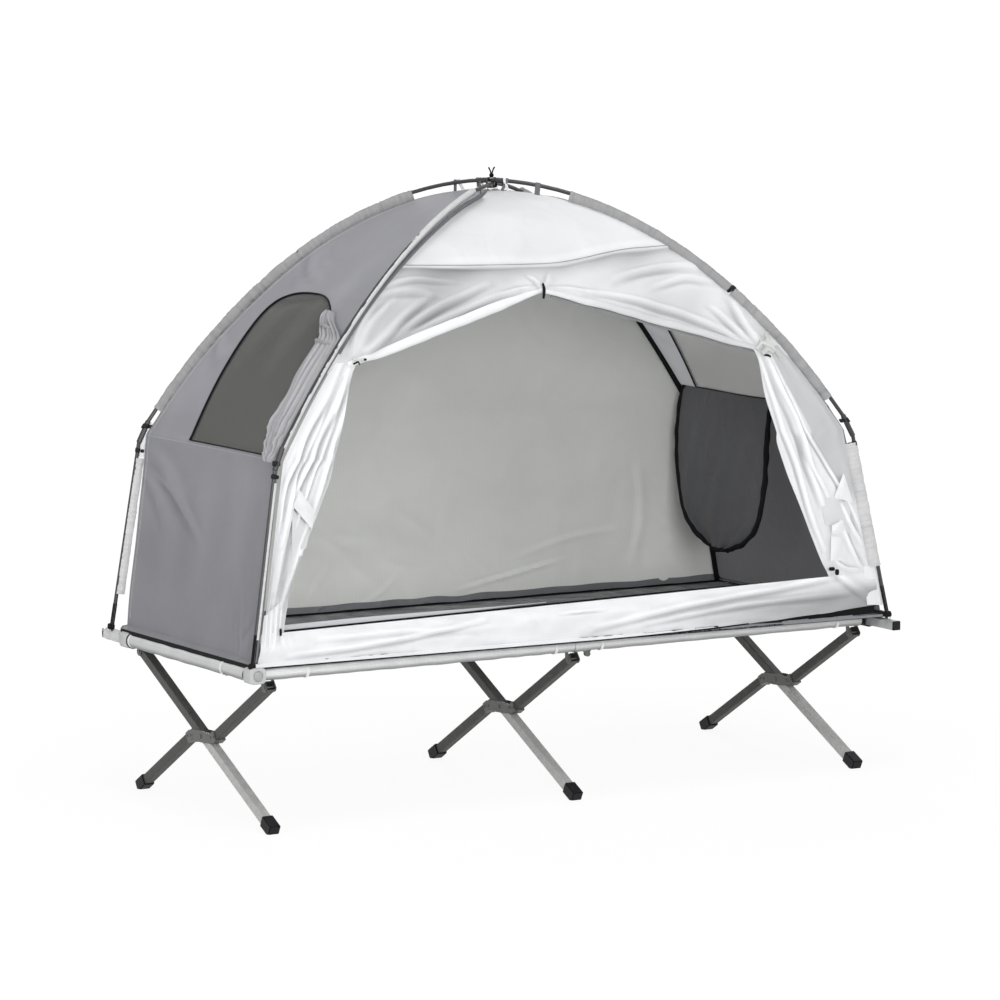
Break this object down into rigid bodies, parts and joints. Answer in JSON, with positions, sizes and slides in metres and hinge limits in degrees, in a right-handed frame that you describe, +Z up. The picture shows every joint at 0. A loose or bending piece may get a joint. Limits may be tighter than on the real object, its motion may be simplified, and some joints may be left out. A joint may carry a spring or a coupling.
{
  "type": "tent cot",
  "caption": "Folding cot on crossed legs with a sleeping tent on it: bent crossing poles, open swagged door, arched net windows and a rolled window cover.",
  "frame": {"origin": "middle of the footprint on the ground", "axes": "+X along the rails to the right end, +Y to the back, +Z up"},
  "size_m": [1.938, 1.0028, 1.6623],
  "materials": {
    "rail_metal": "satin silver grey paint",
    "leg_metal": "satin grey paint",
    "bracket_metal": "pressed sheet",
    "fitting_black": "matt black",
    "bed_grey": "silver grey woven",
    "silver_cloth": "silver white coated weave",
    "grey_cloth": "mid grey weave",
    "dark_cloth": "dark grey weave",
    "mesh_cloth": "fine net",
    "pole_black": "black glass fibre"
  },
  "bodies": {
    "front_rail": {"rail_front_left": "rail_metal", "hinge_front_left": "bracket_metal", "corner_joint_front_left": "fitting_black", "leg_bracket_front_left": "bracket_metal", "leg_bracket_front_mid": "bracket_metal", "bed_cloth": "bed_grey", "end_sleeve_left": "bed_grey"},
    "front_rail_right": {"rail_front_right": "rail_metal", "hinge_front_right": "bracket_metal", "corner_joint_front_right": "fitting_black", "leg_bracket_front_right": "bracket_metal", "end_sleeve_right": "bed_grey"},
    "back_rail": {"rail_back_left": "rail_metal", "hinge_back_left": "bracket_metal", "corner_joint_back_left": "fitting_black", "leg_bracket_back_left": "bracket_metal", "leg_bracket_back_mid": "bracket_metal"},
    "back_rail_right": {"rail_back_right": "rail_metal", "hinge_back_right": "bracket_metal", "corner_joint_back_right": "fitting_black", "leg_bracket_back_right": "bracket_metal"},
    "end_bar_left": {"end_bar_left": "rail_metal", "bar_cap_left_front": "fitting_black", "bar_cap_left_back": "fitting_black"},
    "end_bar_right": {"end_bar_right": "rail_metal", "bar_cap_right_front": "fitting_black", "bar_cap_right_back": "fitting_black"},
    "tent": {"pole_back_left_to_front_right": "pole_black", "pole_front_left_to_back_right": "pole_black", "apex_tie": "fitting_black", "front_canopy": "silver_cloth", "front_sill": "silver_cloth", "curtain_left": "silver_cloth", "curtain_right": "silver_cloth", "back_wall": "silver_cloth", "end_wall_left": "grey_cloth", "end_wall_right": "dark_cloth", "window_mesh_left": "mesh_cloth", "window_mesh_right": "mesh_cloth", "left_window_roll": "silver_cloth", "right_window_flap": "dark_cloth", "tent_floor": "dark_cloth"},
    "cut_leg_left": {"leg_upper_left": "leg_metal", "leg_lower_left": "leg_metal", "cross_bracket_left": "bracket_metal", "foot_back_left": "fitting_black"},
    "whole_leg_left": {"leg_whole_left": "leg_metal", "foot_front_left": "fitting_black"},
    "cut_leg_mid": {"leg_upper_mid": "leg_metal", "leg_lower_mid": "leg_metal", "cross_bracket_mid": "bracket_metal", "foot_back_mid": "fitting_black"},
    "whole_leg_mid": {"leg_whole_mid": "leg_metal", "foot_front_mid": "fitting_black"},
    "cut_leg_right": {"leg_upper_right": "leg_metal", "leg_lower_right": "leg_metal", "cross_bracket_right": "bracket_metal", "foot_back_right": "fitting_black"},
    "whole_leg_right": {"leg_whole_right": "leg_metal", "foot_front_right": "fitting_black"}
  },
  "joints": [
    {"name": "width_fold", "type": "hinge", "parent": "front_rail", "child": "cut_leg_mid", "pos_m": [0, -0.355, 0.376], "axis": [-1, 0, 0], "range_deg": [0, 42], "deforming": ["bed_cloth", "end_sleeve_left", "end_sleeve_right"]},
    {"name": "cross_pivot_mid", "type": "hinge", "parent": "cut_leg_mid", "child": "whole_leg_mid", "pos_m": [0, 0, 0.198], "axis": [1, 0, 0], "range_deg": [0, 84]},
    {"name": "back_rail_pivot", "type": "hinge", "parent": "whole_leg_mid", "child": "back_rail", "pos_m": [0, 0.355, 0.376], "axis": [-1, 0, 0], "range_deg": [0, 42]},
    {"name": "leg_pivot_left", "type": "hinge", "parent": "front_rail", "child": "cut_leg_left", "pos_m": [-0.909, -0.355, 0.376], "axis": [-1, 0, 0], "range_deg": [0, 42]},
    {"name": "cross_pivot_left", "type": "hinge", "parent": "cut_leg_left", "child": "whole_leg_left", "pos_m": [-0.909, 0, 0.198], "axis": [1, 0, 0], "range_deg": [0, 84]},
    {"name": "length_fold", "type": "hinge", "parent": "front_rail", "child": "front_rail_right", "pos_m": [0.05, -0.355, 0.3855], "axis": [0, 1, 0], "range_deg": [0, 80]},
    {"name": "length_fold_back", "type": "hinge", "parent": "back_rail", "child": "back_rail_right", "pos_m": [0.05, 0.355, 0.3855], "axis": [0, 1, 0], "range_deg": [0, 80]},
    {"name": "leg_pivot_right", "type": "hinge", "parent": "front_rail_right", "child": "cut_leg_right", "pos_m": [0.909, -0.355, 0.376], "axis": [-1, 0, 0], "range_deg": [0, 42]},
    {"name": "cross_pivot_right", "type": "hinge", "parent": "cut_leg_right", "child": "whole_leg_right", "pos_m": [0.909, 0, 0.198], "axis": [1, 0, 0], "range_deg": [0, 84]},
    {"name": "end_bar_left_slide", "type": "slide", "parent": "front_rail", "child": "end_bar_left", "axis": [0, -1, 0], "range_m": [0, 0.11]},
    {"name": "end_bar_right_slide", "type": "slide", "parent": "front_rail_right", "child": "end_bar_right", "axis": [0, 1, 0], "range_m": [0, 0.11]},
    {"name": "tent_lift", "type": "slide", "parent": "front_rail", "child": "tent", "axis": [0, 0, 1], "range_m": [0, 0.15]}
  ],
  "couplings": [
    {"joint": "cross_pivot_mid", "follows": "width_fold", "ratio": 2},
    {"joint": "back_rail_pivot", "follows": "width_fold", "ratio": 1},
    {"joint": "leg_pivot_left", "follows": "width_fold", "ratio": 1},
    {"joint": "cross_pivot_left", "follows": "width_fold", "ratio": 2},
    {"joint": "leg_pivot_right", "follows": "width_fold", "ratio": 1},
    {"joint": "cross_pivot_right", "follows": "width_fold", "ratio": 2},
    {"joint": "length_fold_back", "follows": "length_fold", "ratio": 1}
  ]
}
